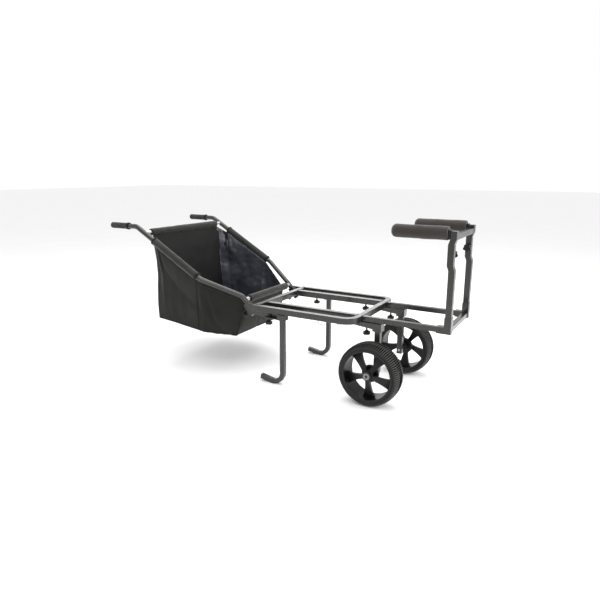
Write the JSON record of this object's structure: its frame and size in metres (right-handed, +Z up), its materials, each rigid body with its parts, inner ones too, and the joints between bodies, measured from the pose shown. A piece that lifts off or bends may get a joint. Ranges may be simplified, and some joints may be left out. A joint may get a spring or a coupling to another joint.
{
  "type": "tackle barrow",
  "caption": "Two-wheel tubular tackle barrow with a flat load bed, telescoping front with padded supports, props at the rear, and an open fabric bag between long push handles.",
  "frame": {"origin": "on the ground, under the middle of the whole barrow's box", "axes": "+X forwards, from the hand grips to the front uprights, +Y to the pusher's left, +Z up"},
  "size_m": [1.922, 0.708, 0.853],
  "materials": {
    "frame_paint": "satin powder coat, near black",
    "tube_paint": "satin powder coat, near black",
    "bare_tube": "plain drawn tube",
    "steel": "plated",
    "black_plastic": "moulded",
    "knob_plastic": "moulded star knob",
    "rim_plastic": "moulded, semi gloss",
    "tyre": "ribbed tread",
    "cap_plastic": "plain cap",
    "foam": "closed-cell foam, matt",
    "grip_rubber": "ribbed grip",
    "webbing": "woven sleeve",
    "roller_fabric": "woven nylon over a foam roller",
    "bag_fabric": "coated woven nylon"
  },
  "bodies": {
    "bed": {"outer_hoop": "frame_paint", "rear_cross_tube": "frame_paint", "inner_rail_left": "frame_paint", "inner_rail_right": "frame_paint", "gusset_plates": "frame_paint", "handle_sockets": "frame_paint", "leg_sockets": "frame_paint", "strap_loops": "steel", "rail_end_plugs": "black_plastic"},
    "extension": {"extension_rail_left": "frame_paint", "extension_rail_right": "frame_paint", "extension_glides": "black_plastic", "corner_socket_left": "frame_paint", "corner_socket_right": "frame_paint", "lower_cross_tube": "frame_paint", "upright_left": "frame_paint", "upright_right": "frame_paint"},
    "upper_frame": {"upper_post_left": "frame_paint", "upper_post_right": "frame_paint", "upper_cross_tube": "frame_paint", "support_flanges": "black_plastic", "support_tubes": "bare_tube", "support_foam_left": "foam", "support_foam_right": "foam"},
    "handle_frame": {"handle_tube_left": "tube_paint", "handle_tube_right": "tube_paint", "lower_bag_tube": "bare_tube", "upper_bag_tube": "bare_tube", "lower_roller": "roller_fabric", "upper_roller": "roller_fabric", "arm_sleeve_left": "webbing", "arm_sleeve_right": "webbing", "bag": "bag_fabric", "grip_collars": "black_plastic", "grip_left": "grip_rubber", "grip_right": "grip_rubber"},
    "leg_left": {"leg_left": "tube_paint"},
    "carriage_left": {"wheel_bracket_left": "frame_paint", "wheel_post_left": "tube_paint", "axle_left": "steel"},
    "wheel_left": {"rim_left": "rim_plastic", "tyre_left": "tyre", "hub_cap_left": "cap_plastic"},
    "handle_knob_left": {"handle_knob_left": "knob_plastic"},
    "leg_knob_left": {"leg_knob_left": "knob_plastic"},
    "wheel_knob_left": {"wheel_knob_left": "knob_plastic"},
    "extension_knob_left": {"extension_knob_left": "knob_plastic"},
    "support_knob_left": {"support_knob_left": "knob_plastic"},
    "leg_right": {"leg_right": "tube_paint"},
    "carriage_right": {"wheel_bracket_right": "frame_paint", "wheel_post_right": "tube_paint", "axle_right": "steel"},
    "wheel_right": {"rim_right": "rim_plastic", "tyre_right": "tyre", "hub_cap_right": "cap_plastic"},
    "handle_knob_right": {"handle_knob_right": "knob_plastic"},
    "leg_knob_right": {"leg_knob_right": "knob_plastic"},
    "wheel_knob_right": {"wheel_knob_right": "knob_plastic"},
    "extension_knob_right": {"extension_knob_right": "knob_plastic"},
    "support_knob_right": {"support_knob_right": "knob_plastic"}
  },
  "joints": [
    {"name": "extension_slide", "type": "slide", "parent": "bed", "child": "extension", "axis": [1, 0, 0], "range_m": [-0.19, 0.15]},
    {"name": "upper_frame_slide", "type": "slide", "parent": "extension", "child": "upper_frame", "axis": [0, 0, 1], "range_m": [0, 0.05]},
    {"name": "handle_slide", "type": "slide", "parent": "bed", "child": "handle_frame", "axis": [-0.6805, 0, 0.7328], "range_m": [0, 0.05]},
    {"name": "leg_left_slide", "type": "slide", "parent": "bed", "child": "leg_left", "axis": [0, 0, 1], "range_m": [-0.03, 0]},
    {"name": "carriage_left_slide", "type": "slide", "parent": "bed", "child": "carriage_left", "axis": [1, 0, 0], "range_m": [-0.02, 0.05]},
    {"name": "wheel_left_spin", "type": "hinge", "parent": "carriage_left", "child": "wheel_left", "pos_m": [0.616, 0.243, 0.1525], "axis": [0, 1, 0], "continuous": true},
    {"name": "handle_knob_left_turn", "type": "hinge", "parent": "bed", "child": "handle_knob_left", "pos_m": [-0.08956, 0.226, 0.36791], "axis": [-0.7328, 0, -0.6805], "range_deg": [0, 270]},
    {"name": "leg_knob_left_turn", "type": "hinge", "parent": "bed", "child": "leg_knob_left", "pos_m": [0.057, 0.258, 0.35], "axis": [0, 0, -1], "range_deg": [0, 270]},
    {"name": "wheel_knob_left_turn", "type": "hinge", "parent": "carriage_left", "child": "wheel_knob_left", "pos_m": [0.557, 0.161, 0.35], "axis": [0, 0, -1], "range_deg": [0, 270]},
    {"name": "extension_knob_left_turn", "type": "hinge", "parent": "bed", "child": "extension_knob_left", "pos_m": [0.412, 0.161, 0.37], "axis": [0, 0, -1], "range_deg": [0, 270]},
    {"name": "support_knob_left_turn", "type": "hinge", "parent": "upper_frame", "child": "support_knob_left", "pos_m": [0.937, 0.146, 0.726], "axis": [0, -1, 0], "range_deg": [0, 270]},
    {"name": "leg_right_slide", "type": "slide", "parent": "bed", "child": "leg_right", "axis": [0, 0, 1], "range_m": [-0.03, 0]},
    {"name": "carriage_right_slide", "type": "slide", "parent": "bed", "child": "carriage_right", "axis": [1, 0, 0], "range_m": [-0.02, 0.05]},
    {"name": "wheel_right_spin", "type": "hinge", "parent": "carriage_right", "child": "wheel_right", "pos_m": [0.616, -0.243, 0.1525], "axis": [0, 1, 0], "continuous": true},
    {"name": "handle_knob_right_turn", "type": "hinge", "parent": "bed", "child": "handle_knob_right", "pos_m": [-0.08956, -0.226, 0.36791], "axis": [-0.7328, 0, -0.6805], "range_deg": [0, 270]},
    {"name": "leg_knob_right_turn", "type": "hinge", "parent": "bed", "child": "leg_knob_right", "pos_m": [0.057, -0.258, 0.35], "axis": [0, 0, -1], "range_deg": [0, 270]},
    {"name": "wheel_knob_right_turn", "type": "hinge", "parent": "carriage_right", "child": "wheel_knob_right", "pos_m": [0.557, -0.161, 0.35], "axis": [0, 0, -1], "range_deg": [0, 270]},
    {"name": "extension_knob_right_turn", "type": "hinge", "parent": "bed", "child": "extension_knob_right", "pos_m": [0.412, -0.161, 0.37], "axis": [0, 0, -1], "range_deg": [0, 270]},
    {"name": "support_knob_right_turn", "type": "hinge", "parent": "upper_frame", "child": "support_knob_right", "pos_m": [0.937, -0.146, 0.726], "axis": [0, 1, 0], "range_deg": [0, 270]}
  ]
}
